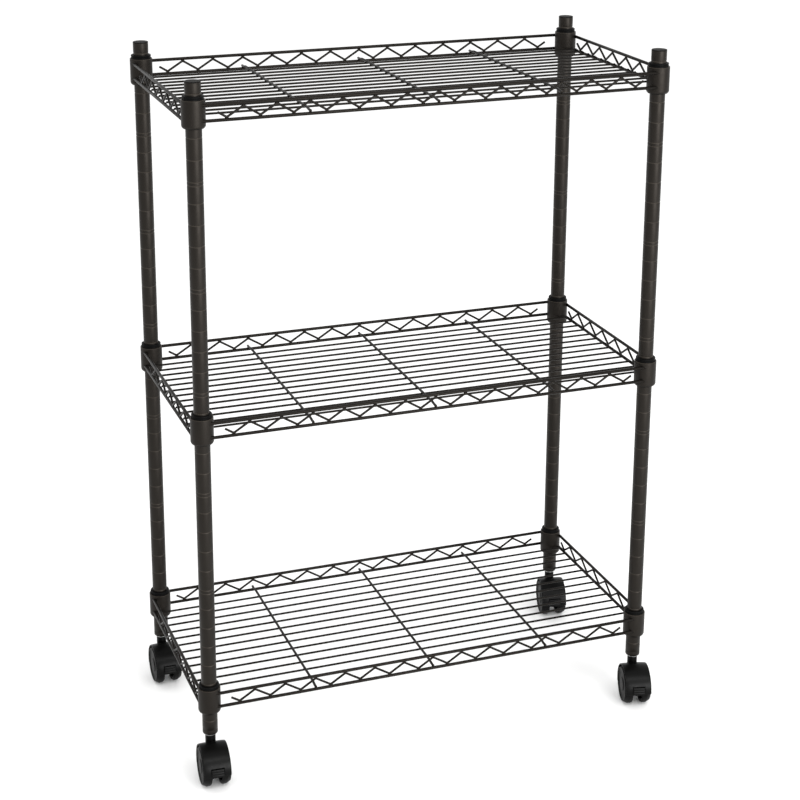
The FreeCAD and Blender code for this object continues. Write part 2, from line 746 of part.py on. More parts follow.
def make_washers():
    """Plain zinc washers between the foot inserts and the caster necks."""
    members = []
    for corner in CORNERS:
        body = turned("washer_" + corner, [
            ("Sizes.insert_thread", "-Sizes.washer_thickness"),
            ("Sizes.washer_radius", "-Sizes.washer_thickness"),
            ("Sizes.washer_radius", "0"),
            ("Sizes.insert_thread", "0"),
        ])
        members.append(place(body, corner_xy(corner) + ("Sizes.post_foot - Sizes.insert_exposed",)))
    return keep(group("washer_group", members), "stem_washers")


# ---------------------------------------------------------------- assembly
for corner_name in CORNERS:
    make_post(corner_name)
make_caps()
make_inserts()

for shelf_name, shelf_height in SHELVES.items():
    for corner_name in CORNERS:
        make_collar(shelf_name, shelf_height, corner_name)
    make_sleeves(shelf_name, shelf_height)
    make_rim(shelf_name, shelf_height, "upper")
    make_rim(shelf_name, shelf_height, "lower")
    make_trusses(shelf_name, shelf_height)
    make_deck(shelf_name, shelf_height)
    make_cross_wires(shelf_name, shelf_height)

make_stems()
make_washers()
for corner_name in CORNERS:
    make_hood(corner_name)
    make_brake_tab(corner_name)
    make_axle(corner_name)
    make_wheel(corner_name, "left")
    make_wheel(corner_name, "right")

doc.recompute()

faults = [item.Name for item in doc.Objects if "Invalid" in item.State or "Error" in item.State]
for node in nodes:
    if node.Shape.isNull() or not node.Shape.isValid() or not node.Shape.Solids:
        faults.append(node.Label)
if faults:
    raise RuntimeError("failed objects: " + ", ".join(faults))

for node in nodes:
    node.Shape.exportStep("parts/%s.step" % node.Label)
box = Part.makeCompound([node.Shape for node in nodes]).BoundBox
print("%d nodes, %.1f x %.1f x %.1f mm, lowest point %.3f" % (
    len(nodes), box.XLength, box.YLength, box.ZLength, box.ZMin))
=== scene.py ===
"""Looks of the wire shelving rack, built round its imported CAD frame.

Metres, +X along the shelves to the right, +Y to the back and +Z up, as in the frame. Sizes that the
frame doesn't give are named in millimetres and turned into metres once, by mm().
"""

import bmesh
import bpy
import json
import math
from mathutils import Matrix, Vector


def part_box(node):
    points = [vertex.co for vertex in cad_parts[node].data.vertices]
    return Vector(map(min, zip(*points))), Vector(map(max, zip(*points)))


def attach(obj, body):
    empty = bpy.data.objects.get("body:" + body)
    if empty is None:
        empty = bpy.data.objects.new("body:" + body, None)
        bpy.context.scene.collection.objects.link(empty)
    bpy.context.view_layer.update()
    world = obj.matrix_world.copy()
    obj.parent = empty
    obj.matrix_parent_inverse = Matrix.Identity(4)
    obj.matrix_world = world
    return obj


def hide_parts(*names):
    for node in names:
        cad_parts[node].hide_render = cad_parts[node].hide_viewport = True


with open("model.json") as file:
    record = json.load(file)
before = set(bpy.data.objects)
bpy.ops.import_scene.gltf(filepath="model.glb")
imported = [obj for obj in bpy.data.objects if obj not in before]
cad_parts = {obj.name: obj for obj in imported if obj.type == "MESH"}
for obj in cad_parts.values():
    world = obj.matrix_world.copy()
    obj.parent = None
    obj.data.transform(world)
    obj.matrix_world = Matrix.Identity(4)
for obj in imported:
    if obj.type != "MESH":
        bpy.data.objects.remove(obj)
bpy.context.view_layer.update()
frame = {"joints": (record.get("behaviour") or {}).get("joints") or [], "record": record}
RECORD = frame["record"]
JOINTS = {joint["name"]: joint for joint in frame["joints"]}
CORNERS = ("front_left", "front_right", "back_left", "back_right")
SHELVES = ("bottom", "middle", "top")
SIDES = ("left", "right")


def mm(*sizes):
    """Millimetres to metres; one number, or a list of several."""
    scaled = [size / 1000 for size in sizes]
    return scaled[0] if len(scaled) == 1 else scaled


# ---------------------------------------------------------------- sizes that the frame doesn't hold
GROOVE_PITCH, GROOVE_FIRST, GROOVE_DEPTH, GROOVE_HALF = mm(25.4, 12.7, 0.45, 0.8)
MARKER_PITCH, MARKER_FIRST = mm(127.0, 59.1)
POST_WALL, CAP_WALL, CAP_PLUG, INSERT_PLUG = mm(1.0, 1.6, 12.0, 26.0)
RIM_RADIUS, TRUSS_RADIUS, DECK_RADIUS, CROSS_RADIUS = mm(2.0, 1.4, 1.35, 1.6)
LONG_LOWER, SIDE_LOWER, UPPER = mm(8.0, 7.4, 26.0)       # rim heights over the collar's foot
RIM_START = mm(5.0)                                      # rim ends past the post axes, in the collars
TRUSS_BEND, TRUSS_STUB = mm(2.6, 9.2)
LONG_MARGIN, SIDE_MARGIN, SIDE_SHIFT = mm(36.0, 38.0, 11.5)
LONG_WAVES, SIDE_WAVES, DECK_COUNT, CROSS_WAVES = 13, 5, 13, 4
DECK_HEIGHT, DECK_PITCH = mm(10.08, 19.1)
CROSS_FRONT, CROSS_BACK = mm(1.6, 3.6)                   # cross wire ends past the long rims
CROSS_FOOT, CROSS_RAMP, CROSS_BEND = mm(4.0, 9.0, 12.0)  # flat end, rise to the deck, bend radius
COLLAR_RADIUS, COLLAR_HEIGHT, BORE_TOP, BORE_FOOT = mm(14.0, 32.0, 12.5, 12.8)
WHEEL_RADIUS, WHEEL_WIDTH, WEB_HALF, WHEEL_GAP = mm(25.0, 11.5, 5.5, 0.5)
WHEEL_RIBS = 6
AXLE_RADIUS, AXLE_SEAT = mm(3.0, 9.2)                    # the seat is its length in each wheel
HOOD_RADIUS, HOOD_WALL, HOOD_HALF = mm(27.6, 1.5, 17.0)
HOOD_FRONT, HOOD_BACK = math.radians(-4.0), math.radians(200.0)
WINDOW_HALF, WINDOW_FLOOR, WINDOW_TOP = mm(8.15), mm(24.6), math.radians(19.0)
WEB_HUB = mm(14.0)
NECK_RADIUS, NECK_FOOT, NECK_TOP = mm(6.5, 46.0, 58.6)
STEM_FOOT, STEM_RADIUS, THREAD_RADIUS, THREAD_TOP = mm(30.0, 3.5, 4.9, 78.9)
THREAD_PITCH, WASHER_RADIUS = mm(1.5, 7.4)
TAB_HALF, TAB_INNER, TAB_OUTER = mm(7.7, 26.5, 28.4)
TAB_FOOT, TAB_TOP = math.radians(-5.0), math.radians(17.0)

# Places read from the frame.
POST_RADIUS = mm(next(m["dims"]["r_mm"] for m in RECORD["mounts"] if m["kind"] == "pin"))
AXES = {c: Vector(JOINTS["swivel_" + c]["pos_m"][:2]) for c in CORNERS}
HALF_X, HALF_Y = (AXES["back_right"] - AXES["front_left"]) / 2
MIDDLE_Y = (AXES["back_right"].y + AXES["front_left"].y) / 2    # of the posts, behind the origin
POST_FOOT, POST_TOP = (corner.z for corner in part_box("post_front_left"))
CAP_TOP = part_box("post_caps")[1].z
INSERT_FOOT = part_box("foot_inserts")[0].z
WASHER_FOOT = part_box("stem_washers")[0].z
SHELF_FOOT = {shelf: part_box(shelf + "_collar_front_left")[0].z for shelf in SHELVES}
SLEEVE_FOOT, SLEEVE_TOP = (corner.z - SHELF_FOOT["top"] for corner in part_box("top_sleeves"))
RIM_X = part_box("top_upper_rim")[1].x - RIM_RADIUS
RIM_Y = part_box("top_upper_rim")[1].y - RIM_RADIUS - MIDDLE_Y    # from the posts' middle
DECK_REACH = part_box("top_deck_wires")[1].x


# ---------------------------------------------------------------- mesh tools
def rounded(corners, steps=3):
    """A closed outline whose corners are arcs; each corner is (u, v, radius)."""
    points = []
    for index, (u, v, radius) in enumerate(corners):
        here = Vector((u, v))
        before = Vector(corners[index - 1][:2]) - here
        after = Vector(corners[(index + 1) % len(corners)][:2]) - here
        half = before.angle(after) / 2
        setback = min(radius / math.tan(half), 0.48 * before.length, 0.48 * after.length)
        if setback < 1e-7:
            points.append(here)
            continue
        bend = setback * math.tan(half)
        centre = here + (before.normalized() + after.normalized()).normalized() * bend / math.sin(half)
        start = here + before.normalized() * setback - centre
        turn = start.angle_signed(here + after.normalized() * setback - centre)
        for step in range(steps + 1):
            points.append(centre + Matrix.Rotation(-turn * step / steps, 2) @ start)
    return points


def add_loft(bm, rings, closed_round=True, closed_along=False):
    """Quads between rings of equal length; open ends are capped when the rings are closed."""
    made = [[bm.verts.new(point) for point in ring] for ring in rings]
    around = len(made[0]) if closed_round else len(made[0]) - 1
    along = len(made) if closed_along else len(made) - 1
    for row in range(along):
        near, far = made[row], made[(row + 1) % len(made)]
        for column in range(around):
            following = (column + 1) % len(near)
            bm.faces.new((near[column], near[following], far[following], far[column]))
    if closed_round and not closed_along:
        bm.faces.new(list(reversed(made[0])))
        bm.faces.new(made[-1])


def add_lathe(bm, outline, place=Matrix(), segments=72, start=0.0, sweep=math.tau):
    """Turn a closed (radius, height) outline about the place's own Z axis."""
    full = abs(sweep - math.tau) < 1e-6
    count = segments if full else segments + 1
    rings = []
    for index in range(count):
        angle = start + sweep * index / segments
        along = Vector((math.cos(angle), math.sin(angle), 0))
        rings.append([place @ (along * r + Vector((0, 0, h))) for r, h in outline])
    add_loft(bm, rings, closed_along=full)


def add_tube(bm, path, radii, sides=20):
    """A round wire through the path's points, with a radius at each, and eased cut ends."""
    if isinstance(radii, float):
        radii = [radii] * len(path)
    edge = 0.35
    rings = []
    side = None
    for index, (point, radius) in enumerate(zip(path, radii)):
        before = path[max(index - 1, 0)]
        after = path[min(index + 1, len(path) - 1)]
        along = (after - before).normalized()
        if side is None:
            side = along.orthogonal().normalized()
        side = (side - along * side.dot(along)).normalized()
        up = along.cross(side)
        sections = [(0.0, radius)]
        if index == 0:
            sections = [(0.0, radius * (1 - edge)), (radius * edge * 0.3, radius * (1 - 0.3 * edge)),
                        (radius * edge, radius)]
        elif index == len(path) - 1:
            sections = [(-radius * edge, radius), (-radius * edge * 0.3, radius * (1 - 0.3 * edge)),
                        (0.0, radius * (1 - edge))]
        for shift, size in sections:
            rings.append([
                point + along * shift
                + (side * math.cos(math.tau * k / sides) + up * math.sin(math.tau * k / sides)) * size
                for k in range(sides)
            ])
    add_loft(bm, rings)


def add_bead(bm, centre, sizes, turn=Matrix()):
    """A small rounded bead of weld and paint."""
    grow = Matrix.Diagonal((*sizes, 1.0))
    bmesh.ops.create_uvsphere(
        bm, u_segments=12, v_segments=8, radius=1.0, matrix=Matrix.Translation(centre) @ turn @ grow
    )


def piece(name, bm, material, body, nodes=(), crease=35.0):
    """Make one visible piece from a bmesh: merged, facing outwards, smooth but for its edges."""
    bmesh.ops.remove_doubles(bm, verts=bm.verts, dist=1e-7)
    bmesh.ops.dissolve_degenerate(bm, edges=bm.edges, dist=1e-8)
    bmesh.ops.recalc_face_normals(bm, faces=bm.faces)
    for face in bm.faces:
        face.smooth = True
    for edge in bm.edges:
        edge.smooth = len(edge.link_faces) == 2 and edge.calc_face_angle(0.0) < math.radians(crease)
    mesh = bpy.data.meshes.new(name)
    bm.to_mesh(mesh)
    bm.free()
    mesh.materials.append(material)
    made = bpy.data.objects.new(name, mesh)
    bpy.context.scene.collection.objects.link(made)
    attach(made, body)
    if nodes:
        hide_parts(*nodes)
    return made


def bevelled(made, width, angle=40.0, segments=3):
    """Round a piece's sharp edges."""
    bevel = made.modifiers.new("edges", "BEVEL")
    bevel.width = width
    bevel.segments = segments
    bevel.limit_method = "ANGLE"
    bevel.angle_limit = math.radians(angle)
    bevel.harden_normals = True
    return made


# ---------------------------------------------------------------- materials
FLECKED, RING_HIGHLIGHT = 1.6, 6.0                               # how much lighter than the coat's light tone: the flecks, and the painted highlight rings
BRONZE = (1.0, 0.90, 0.80)                               # tint of the coat's reflections


class Finish:
    """A node material with one Principled shader, and short calls for what drives it."""

    def __init__(self, name):
        self.material = bpy.data.materials.new(name)
        self.material.use_nodes = True
        self.tree = self.material.node_tree
        self.shader = self.tree.nodes["Principled BSDF"]
        self.place = self.tree.nodes.new("ShaderNodeTexCoord").outputs["Object"]

    def link(self, source, target):
        self.tree.links.new(source, target)

    def noise(self, scale, detail=3.0, roughness=0.5, stretch=None):
        node = self.tree.nodes.new("ShaderNodeTexNoise")
        node.inputs["Scale"].default_value = scale
        node.inputs["Detail"].default_value = detail
        node.inputs["Roughness"].default_value = roughness
        source = self.place
        if stretch:
            mapping = self.tree.nodes.new("ShaderNodeMapping")
            mapping.inputs["Scale"].default_value = stretch
            self.link(source, mapping.inputs["Vector"])
            source = mapping.outputs["Vector"]
        self.link(source, node.inputs["Vector"])
        return node.outputs["Fac"]

    def ranged(self, source, low, high, start=0.3, end=0.7):
        node = self.tree.nodes.new("ShaderNodeMapRange")
        node.inputs["From Min"].default_value = start
        node.inputs["From Max"].default_value = end
        node.inputs["To Min"].default_value = low
        node.inputs["To Max"].default_value = high
        self.link(source, node.inputs["Value"])
        return node.outputs["Result"]

    def blend(self, factor, first, second):
        """Mix two colours; each is an RGB tuple or a socket."""
        node = self.tree.nodes.new("ShaderNodeMix")
        node.data_type = "RGBA"
        self.link(factor, node.inputs["Factor"])
        for socket, colour in ((node.inputs[6], first), (node.inputs[7], second)):
            if isinstance(colour, tuple):
                socket.default_value = (*colour, 1.0)
            else:
                self.link(colour, socket)
        return node.outputs[2]

    def rings(self, first, pitch, half):
        """1 on level rings a pitch apart, from a first height, and 0 between them."""
        height = self.tree.nodes.new("ShaderNodeSeparateXYZ")
        self.link(self.place, height.inputs["Vector"])
        away = self.tree.nodes.new("ShaderNodeMath")
        away.operation = "SUBTRACT"
        away.inputs[1].default_value = first
        self.link(height.outputs["Z"], away.inputs[0])
        nearest = self.tree.nodes.new("ShaderNodeMath")
        nearest.operation = "PINGPONG"
        nearest.inputs[1].default_value = pitch / 2
        self.link(away.outputs["Value"], nearest.inputs[0])
        return self.ranged(nearest.outputs["Value"], 1.0, 0.0, 0.4 * half, half)

    def bump(self, height, distance, strength=1.0, below=None):
        node = self.tree.nodes.new("ShaderNodeBump")
        node.inputs["Strength"].default_value = strength
        node.inputs["Distance"].default_value = distance
        self.link(height, node.inputs["Height"])
        if below:
            self.link(below, node.inputs["Normal"])
        return node.outputs["Normal"]


def powder_coat(name, dark, light, rough, specular, highlight_ring_sets=()):
    """Satin powder coat: orange peel, faint tone drift, tiny lighter flecks, and painted highlight rings."""
    finish = Finish(name)
    drift = finish.ranged(finish.noise(28.0, 2.0), 0.0, 1.0)
    speckle = finish.ranged(finish.noise(2600.0, 2.0), 0.0, 1.0, 0.45, 0.80)
    tone = finish.blend(drift, dark, light)
    colour = finish.blend(speckle, tone, tuple(c * FLECKED for c in light))
    # Painted highlight: thin rings much lighter than the coat at the given levels, standing in for light
    # caught on the groove flanks and collar edges.
    for first, pitch in highlight_ring_sets:
        highlight_ring = finish.rings(first, pitch, GROOVE_HALF)
        colour = finish.blend(highlight_ring, colour, tuple(c * RING_HIGHLIGHT for c in light))
    finish.link(colour, finish.shader.inputs["Base Color"])
    finish.link(finish.ranged(finish.noise(140.0, 4.0), rough - 0.04, rough + 0.05),
                finish.shader.inputs["Roughness"])
    peel = finish.bump(finish.noise(850.0, 2.0, 0.4), mm(0.04), 0.12)
    grain = finish.bump(finish.noise(3800.0, 2.0), mm(0.012), 0.12, peel)
    finish.link(grain, finish.shader.inputs["Normal"])
    finish.shader.inputs["Specular IOR Level"].default_value = specular
    finish.shader.inputs["Specular Tint"].default_value = (*BRONZE, 1.0)
    return finish.material


def moulded(name, dark, light, rough, specular, grain):
    """Moulded black plastic with a fine spark-eroded grain and faint flow marks."""
    finish = Finish(name)
    flow = finish.ranged(finish.noise(45.0, 3.0, stretch=(1.0, 1.0, 0.35)), 0.0, 1.0)
    finish.link(finish.blend(flow, dark, light), finish.shader.inputs["Base Color"])
    finish.link(finish.ranged(finish.noise(420.0, 5.0), rough - 0.06, rough + 0.08),
                finish.shader.inputs["Roughness"])
    fine = finish.bump(finish.noise(2900.0, 3.0, 0.6), mm(0.02), grain)
    finish.link(finish.bump(finish.noise(240.0, 2.0), mm(0.05), 0.12, fine), finish.shader.inputs["Normal"])
    finish.shader.inputs["Specular IOR Level"].default_value = specular
    return finish.material


def scuffed(name, dark, light, rough, specular):
    """Wheel plastic: moulded, with fine scuffs and floor dust."""
    finish = Finish(name)
    dust = finish.ranged(finish.noise(160.0, 6.0, 0.7), 0.0, 1.0, 0.42, 0.72)
    finish.link(finish.blend(dust, dark, light), finish.shader.inputs["Base Color"])
    finish.link(finish.ranged(finish.noise(600.0, 6.0, 0.7), rough - 0.1, rough + 0.12),
                finish.shader.inputs["Roughness"])
    scratches = finish.noise(900.0, 5.0, 0.8, stretch=(0.12, 1.0, 1.0))
    fine = finish.bump(scratches, mm(0.03), 0.25)
    finish.link(finish.bump(finish.noise(2600.0, 3.0), mm(0.015), 0.3, fine), finish.shader.inputs["Normal"])
    finish.shader.inputs["Specular IOR Level"].default_value = specular
    return finish.material


def zinc_plated(name):
    """Bright zinc with fine turning lines and a dull passivated drift."""
    finish = Finish(name)
    tone = finish.ranged(finish.noise(220.0, 4.0), 0.0, 1.0)
    finish.link(finish.blend(tone, (0.50, 0.51, 0.52), (0.66, 0.66, 0.64)),
                finish.shader.inputs["Base Color"])
    finish.link(finish.ranged(finish.noise(700.0, 4.0), 0.28, 0.45), finish.shader.inputs["Roughness"])
    lines = finish.noise(300.0, 3.0, 0.6, stretch=(1.0, 1.0, 14.0))
    finish.link(finish.bump(lines, mm(0.01), 0.4), finish.shader.inputs["Normal"])
    finish.shader.inputs["Metallic"].default_value = 1.0
    return finish.material


def pale_floor(name):
    """A plain matt studio floor with a barely visible mottle."""
    finish = Finish(name)
    mottle = finish.ranged(finish.noise(1.6, 4.0), 0.0, 1.0)
    finish.link(finish.blend(mottle, (0.86, 0.86, 0.855), (0.88, 0.88, 0.878)),
                finish.shader.inputs["Base Color"])
    finish.link(finish.ranged(finish.noise(30.0, 4.0), 0.85, 0.95), finish.shader.inputs["Roughness"])
    finish.shader.inputs["Specular IOR Level"].default_value = 0.1
    return finish.material


TUBE_TONES = (0.0018, 0.0014, 0.0011), (0.0030, 0.0025, 0.0020)
WIRE_TONES = (0.0012, 0.0010, 0.0008), (0.0022, 0.0018, 0.0015)
ONE_RING = 10.0                                          # a pitch taller than the rack
# Levels of the painted highlight rings: every post groove and marker groove, and each collar's top edge.
GROOVE_HIGHLIGHT_RINGS = ((POST_FOOT + GROOVE_FIRST, GROOVE_PITCH), (POST_FOOT + MARKER_FIRST, MARKER_PITCH))
COLLAR_EDGE_HIGHLIGHT_RINGS = [(SHELF_FOOT[shelf] + COLLAR_HEIGHT, ONE_RING) for shelf in SHELVES]
CAP_TONES = (0.0028, 0.0024, 0.0021), (0.0042, 0.0037, 0.0033)
SLEEVE_TONES = (0.0010, 0.0010, 0.0010), (0.0018, 0.0018, 0.0018)
CASTER_TONES = (0.0009, 0.0009, 0.0008), (0.0016, 0.0016, 0.0015)
WHEEL_TONES = (0.0009, 0.0009, 0.0008), (0.0034, 0.0033, 0.0031)
STEEL = powder_coat("powder_steel", *TUBE_TONES, rough=0.42, specular=0.22)
POST = powder_coat("powder_post", *TUBE_TONES, rough=0.42, specular=0.22, highlight_ring_sets=GROOVE_HIGHLIGHT_RINGS)
COLLAR = powder_coat("powder_collar", *TUBE_TONES, rough=0.44, specular=0.20, highlight_ring_sets=COLLAR_EDGE_HIGHLIGHT_RINGS)
WIRE = powder_coat("powder_wire", *WIRE_TONES, rough=0.38, specular=0.13)
CAP = moulded("cap_plastic", *CAP_TONES, rough=0.55, specular=0.06, grain=0.15)
SLEEVE = moulded("sleeve_plastic", *SLEEVE_TONES, rough=0.50, specular=0.06, grain=0.15)
CASTER = moulded("caster_plastic", *CASTER_TONES, rough=0.34, specular=0.09, grain=0.20)
WHEEL = scuffed("wheel_plastic", *WHEEL_TONES, rough=0.42, specular=0.07)
ZINC = zinc_plated("zinc_steel")


# ---------------------------------------------------------------- posts
def post_outline():
    """A tube wall with a rounded rolled groove every inch and a marker groove at every fifth."""
    levels = []
    level = POST_FOOT + GROOVE_FIRST
    while level < POST_TOP:
        levels.append(level)
        level += GROOVE_PITCH
    level = POST_FOOT + MARKER_FIRST
    while level < POST_TOP:
        levels.append(level)
        level += MARKER_PITCH
    inner = POST_RADIUS - POST_WALL
    soft = mm(0.25)
    corners = [(inner, POST_TOP, 0.0), (inner, POST_FOOT, 0.0), (POST_RADIUS, POST_FOOT, soft)]
    for level in sorted(levels):
        corners.append((POST_RADIUS, level - GROOVE_HALF, soft))
        corners.append((POST_RADIUS - GROOVE_DEPTH, level, soft))
        corners.append((POST_RADIUS, level + GROOVE_HALF, soft))
    corners.append((POST_RADIUS, POST_TOP, soft))
    return rounded(corners, 2)


def upright(corner):
    """The place of a corner's post axis, at the floor."""
    return Matrix.Translation((*AXES[corner], 0.0))


def make_posts():
    outline = post_outline()
    for corner in CORNERS:
        bm = bmesh.new()
        add_lathe(bm, outline, upright(corner), 64)
        piece("post_tube_" + corner, bm, POST, "rack", ["post_" + corner], 60.0)


def make_caps():
    """Press-in end caps: a softened edge and a barely domed top."""
    plug = POST_RADIUS - POST_WALL
    outline = rounded([
        (0.0, CAP_TOP, 0.0),
        (POST_RADIUS - mm(2.5), CAP_TOP - mm(0.05), mm(1.0)),
        (POST_RADIUS, CAP_TOP - mm(0.1), mm(0.7)),
        (POST_RADIUS, POST_TOP + mm(0.05), mm(0.2)),
        (plug, POST_TOP, 0.0),
        (plug, POST_TOP - CAP_PLUG, mm(0.6)),
        (plug - CAP_WALL, POST_TOP - CAP_PLUG, 0.0),
        (plug - CAP_WALL, POST_TOP - mm(0.8), 0.0),
        (0.0, POST_TOP - mm(0.8), 0.0),
    ], 4)
    bm = bmesh.new()
    for corner in CORNERS:
        add_lathe(bm, outline, upright(corner), 64)
    piece("end_caps", bm, CAP, "rack", ["post_caps"])


def make_inserts():
    """Threaded foot inserts, swaged round where they show under the tube."""
    plug = POST_RADIUS - POST_WALL
    outline = rounded([
        (THREAD_RADIUS, INSERT_FOOT, mm(0.3)),
        (POST_RADIUS, INSERT_FOOT, mm(3.4)),
        (POST_RADIUS, POST_FOOT - mm(0.05), mm(0.3)),
        (plug, POST_FOOT, 0.0),
        (plug, POST_FOOT + INSERT_PLUG, mm(0.8)),
        (THREAD_RADIUS, POST_FOOT + INSERT_PLUG, mm(0.5)),
    ], 6)
    bm = bmesh.new()
    for corner in CORNERS:
        add_lathe(bm, outline, upright(corner), 64)
    piece("post_feet", bm, STEEL, "rack", ["foot_inserts"])


# ---------------------------------------------------------------- shelf corners
def make_collars(shelf):
    """Four welded corner collars, rolled in at the foot, with a softened upper edge."""
    foot = SHELF_FOOT[shelf]
    top = foot + COLLAR_HEIGHT
    outline = rounded([
        (BORE_FOOT, foot, mm(0.1)),
        (COLLAR_RADIUS - mm(0.8), foot, mm(0.3)),
        (COLLAR_RADIUS, foot + mm(1.9), mm(1.6)),
        (COLLAR_RADIUS, top, mm(0.5)),
        (BORE_TOP, top, mm(0.3)),
    ], 5)
    for corner in CORNERS:
        bm = bmesh.new()
        add_lathe(bm, outline, upright(corner), 96)
        piece("%s_corner_%s" % (shelf, corner), bm, COLLAR, "rack",
              ["%s_collar_%s" % (shelf, corner)])


def make_sleeves(shelf):
    """Two-part tapered sleeves: a ringed lip above the collar, a narrow skirt below it."""
    foot = SHELF_FOOT[shelf]
    top = foot + COLLAR_HEIGHT
    crown = foot + SLEEVE_TOP
    middle = (top + crown) / 2
    inner = POST_RADIUS + mm(0.02)
    lip = BORE_TOP - mm(0.05)
    neck = lip - mm(0.6)
    outline = rounded([
        (inner, foot + SLEEVE_FOOT, 0.0),
        (BORE_FOOT - mm(0.7), foot + SLEEVE_FOOT, mm(0.4)),
        (BORE_FOOT - mm(0.05), foot, 0.0),
        (lip, top, 0.0),
        (lip, middle - mm(0.8), mm(0.3)),
        (neck, middle - mm(0.4), mm(0.2)),
        (neck, middle + mm(0.1), mm(0.2)),
        (lip, middle + mm(0.5), mm(0.3)),
        (lip, crown, mm(0.8)),
        (inner + mm(0.1), crown, mm(0.5)),
    ], 3)
    gap = math.radians(2.0)
    bm = bmesh.new()
    for corner in CORNERS:
        for start in (gap, math.pi + gap):
            add_lathe(bm, outline, upright(corner), 48, start, math.pi - 2 * gap)
    piece(shelf + "_split_sleeves", bm, SLEEVE, "rack", [shelf + "_sleeves"], 30.0)


# ---------------------------------------------------------------- shelf wires
def long_spot(sign, u, level):
    """A place in the plane of the front or the back wires, u along the shelf."""
    return Vector((u, MIDDLE_Y + sign * RIM_Y, level))


def side_spot(sign, u, level):
    """A place in the plane of the left or the right wires, u from the posts' middle to the back."""
    return Vector((sign * RIM_X, MIDDLE_Y + u, level))


def make_rims(shelf):
    """Upper and lower rim wires round the shelf; they run into the collars, with beads of weld."""
    foot = SHELF_FOOT[shelf]
    end_x = HALF_X - RIM_START
    end_y = HALF_Y - RIM_START
    for which, long_level, side_level in (("upper", UPPER, UPPER), ("lower", LONG_LOWER, SIDE_LOWER)):
        bm = bmesh.new()
        for sign in (-1, 1):
            level = foot + long_level
            line = [long_spot(sign, end * end_x, level) for end in (-1, 1)]
            add_tube(bm, line, RIM_RADIUS, 28)
            level = foot + side_level
            line = [side_spot(sign, end * end_y, level) for end in (-1, 1)]
            add_tube(bm, line, RIM_RADIUS, 28)
        add_collar_welds(bm, foot, long_level, side_level)
        name = "%s_%s_rim" % (shelf, which)
        piece(name + "_wires", bm, WIRE, "rack", [name])


def add_collar_welds(bm, foot, long_level, side_level):
    """Beads where the outer side of each rim wire runs out on a collar."""
    offset = RIM_X - HALF_X
    outer = offset + RIM_RADIUS
    run_out = math.sqrt(COLLAR_RADIUS ** 2 - outer ** 2)
    depth = outer - mm(0.6)
    for corner in CORNERS:
        x, y = AXES[corner]
        side_x = math.copysign(1, x)
        side_y = math.copysign(1, y - MIDDLE_Y)
        turn = math.atan2(run_out, outer)
        add_bead(bm, Vector((x - side_x * run_out, y + side_y * depth, foot + long_level)),
                 mm(2.0, 0.9, 1.5), Matrix.Rotation(side_x * side_y * turn, 4, "Z"))
        add_bead(bm, Vector((x + side_x * depth, y - side_y * run_out, foot + side_level)),
                 mm(0.9, 2.0, 1.5), Matrix.Rotation(-side_x * side_y * turn, 4, "Z"))


def zigzag(span, margin, waves, low, high, steps=5):
    """Points of a truss wire's centre line in its own plane: u along the side, w up."""
    half_pitch = (span - 2 * margin) / waves / 2
    rise = high - low - 2 * TRUSS_BEND
    slope = math.atan2(rise, half_pitch) + math.asin(2 * TRUSS_BEND / math.hypot(half_pitch, rise))
    stub = Vector((TRUSS_STUB, TRUSS_STUB * math.tan(slope)))
    points = []
    for step in range(2 * waves + 1):
        sign = 1 if step % 2 == 0 else -1
        centre = Vector((margin - span / 2 + step * half_pitch,
                         low + TRUSS_BEND if sign > 0 else high - TRUSS_BEND))
        for part in range(steps + 1):
            angle = slope * (2 * part / steps - 1)
            points.append(centre + TRUSS_BEND * Vector((math.sin(angle), -sign * math.cos(angle))))
    return [points[0] + Vector((-stub.x, stub.y))] + points + [points[-1] + stub]


def make_trusses(shelf):
    """The zigzag wires, with a small bead at each weld to a rim."""
    foot = SHELF_FOOT[shelf]
    high = UPPER - RIM_RADIUS - TRUSS_RADIUS
    bm = bmesh.new()
    for span, margin, waves, lower, shift, stand, bead in (
        (2 * HALF_X, LONG_MARGIN, LONG_WAVES, LONG_LOWER, 0.0, long_spot, mm(2.4, 1.1, 0.9)),
        (2 * HALF_Y, SIDE_MARGIN, SIDE_WAVES, SIDE_LOWER, SIDE_SHIFT, side_spot, mm(1.1, 2.4, 0.9)),
    ):
        low = lower + RIM_RADIUS + TRUSS_RADIUS
        flat = zigzag(span, margin, waves, low, high)
        half_pitch = (span - 2 * margin) / waves / 2
        for sign in (-1, 1):
            add_tube(bm, [stand(sign, u + sign * shift, foot + w) for u, w in flat], TRUSS_RADIUS, 16)
            for step in range(2 * waves + 1):
                level = low - TRUSS_RADIUS if step % 2 == 0 else high + TRUSS_RADIUS
                along = margin - span / 2 + step * half_pitch + sign * shift
                add_bead(bm, stand(sign, along, foot + level), bead)
    piece(shelf + "_zigzag_wires", bm, WIRE, "rack", [shelf + "_truss_wires"])


def deck_lines():
    """How far back each deck wire lies."""
    return [MIDDLE_Y + DECK_PITCH * (index - (DECK_COUNT - 1) / 2) for index in range(DECK_COUNT)]


def cross_lines():
    """Where each cross wire stands along the shelf: whole zigzag waves from the middle."""
    wave = (2 * HALF_X - 2 * LONG_MARGIN) / LONG_WAVES
    return [side * wave * CROSS_WAVES for side in (-1, 0, 1)]


def make_deck(shelf):
    """The thin deck wires along the shelf, welded down on the side rims."""
    level = SHELF_FOOT[shelf] + DECK_HEIGHT
    bm = bmesh.new()
    for y in deck_lines():
        add_tube(bm, [Vector((x, y, level)) for x in (-DECK_REACH, DECK_REACH)], DECK_RADIUS, 16)
        for x in (-RIM_X + mm(0.6), RIM_X - mm(0.6)):
            add_bead(bm, Vector((x, y, level - mm(0.9))), mm(1.5, 1.7, 0.9))
    piece(shelf + "_deck_bars", bm, WIRE, "rack", [shelf + "_deck_wires"])


